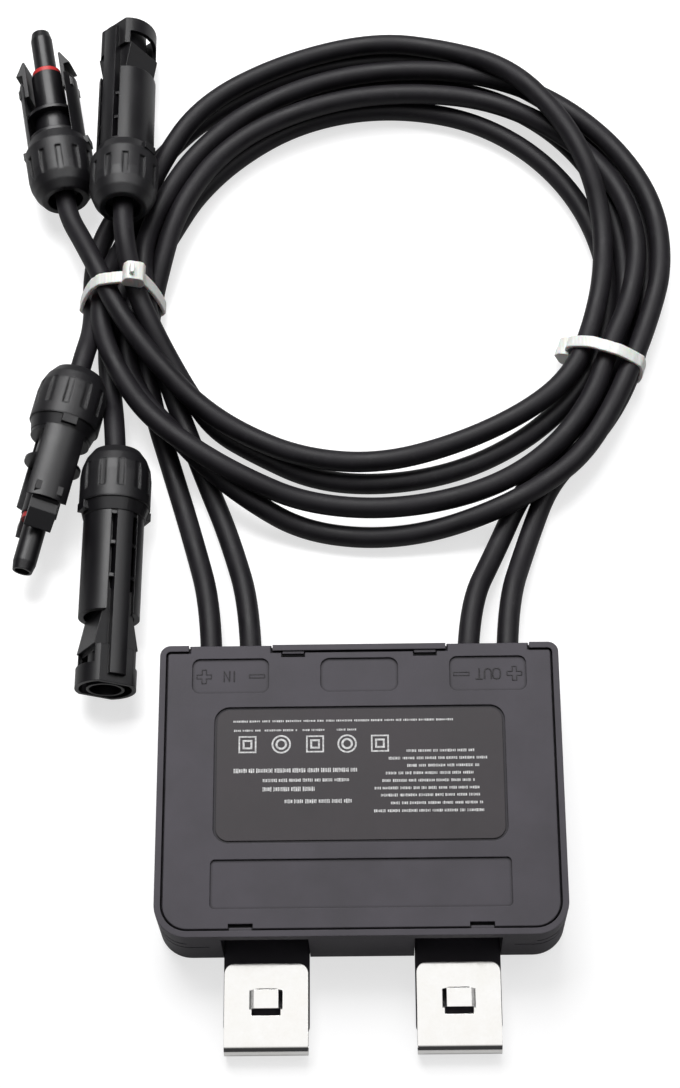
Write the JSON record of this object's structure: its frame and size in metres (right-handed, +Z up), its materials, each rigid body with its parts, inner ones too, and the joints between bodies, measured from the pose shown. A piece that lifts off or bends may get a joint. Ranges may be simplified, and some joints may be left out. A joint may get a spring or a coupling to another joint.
{
  "type": "solar power optimizer",
  "caption": "Flat box with a shallow lid, two spring clips at its front, and four leads at its back in a tied ring that ends in panel connectors.",
  "frame": {"origin": "under the middle of the case and its clips, on the flat underside that the case lies on", "axes": "+Z up out of the lid, +Y from the clips towards the leads, +X to the right seen from the clip side"},
  "size_m": [0.191, 0.3094, 0.0288],
  "materials": {
    "aluminium": "matt",
    "black_rubber": "matt",
    "board": "satin solder mask",
    "cable_jacket": "satin",
    "case_plastic": "fine matt moulded texture",
    "chip_black": "satin",
    "connector_plastic": "satin",
    "ferrite": "matt",
    "label": "satin film",
    "red_rubber": "satin",
    "steel": "bright spring steel",
    "thermal_pad": "matt",
    "tie_nylon": "translucent ivory",
    "tinned_brass": "satin"
  },
  "bodies": {
    "root": {"board_screws": "steel", "cable_ring": "cable_jacket", "capacitors": "aluminium", "case_lid": "case_plastic", "case_tub": "case_plastic", "circuit_board": "board", "clip_left": "steel", "clip_right": "steel", "control_chip": "chip_black", "grommet_in_minus": "black_rubber", "grommet_in_plus": "black_rubber", "grommet_out_minus": "black_rubber", "grommet_out_plus": "black_rubber", "heat_spreader": "aluminium", "in_nose_contact": "tinned_brass", "in_nose_housing": "connector_plastic", "in_nose_nut": "connector_plastic", "in_nose_ring": "red_rubber", "in_nose_seal": "black_rubber", "in_shroud_contact": "tinned_brass", "in_shroud_housing": "connector_plastic", "in_shroud_nut": "connector_plastic", "in_shroud_seal": "black_rubber", "inductors": "ferrite", "label_plate": "label", "lead_in_minus": "cable_jacket", "lead_in_plus": "cable_jacket", "lead_out_minus": "cable_jacket", "lead_out_plus": "cable_jacket", "lid_gasket": "black_rubber", "out_nose_contact": "tinned_brass", "out_nose_housing": "connector_plastic", "out_nose_nut": "connector_plastic", "out_nose_ring": "red_rubber", "out_nose_seal": "black_rubber", "out_shroud_contact": "tinned_brass", "out_shroud_housing": "connector_plastic", "out_shroud_nut": "connector_plastic", "out_shroud_seal": "black_rubber", "power_switches": "chip_black", "tail_in_nose": "cable_jacket", "tail_in_shroud": "cable_jacket", "tail_out_nose": "cable_jacket", "tail_out_shroud": "cable_jacket", "terminal_lugs": "tinned_brass", "thermal_pad": "thermal_pad", "tie_left": "tie_nylon", "tie_right": "tie_nylon"}
  },
  "joints": []
}
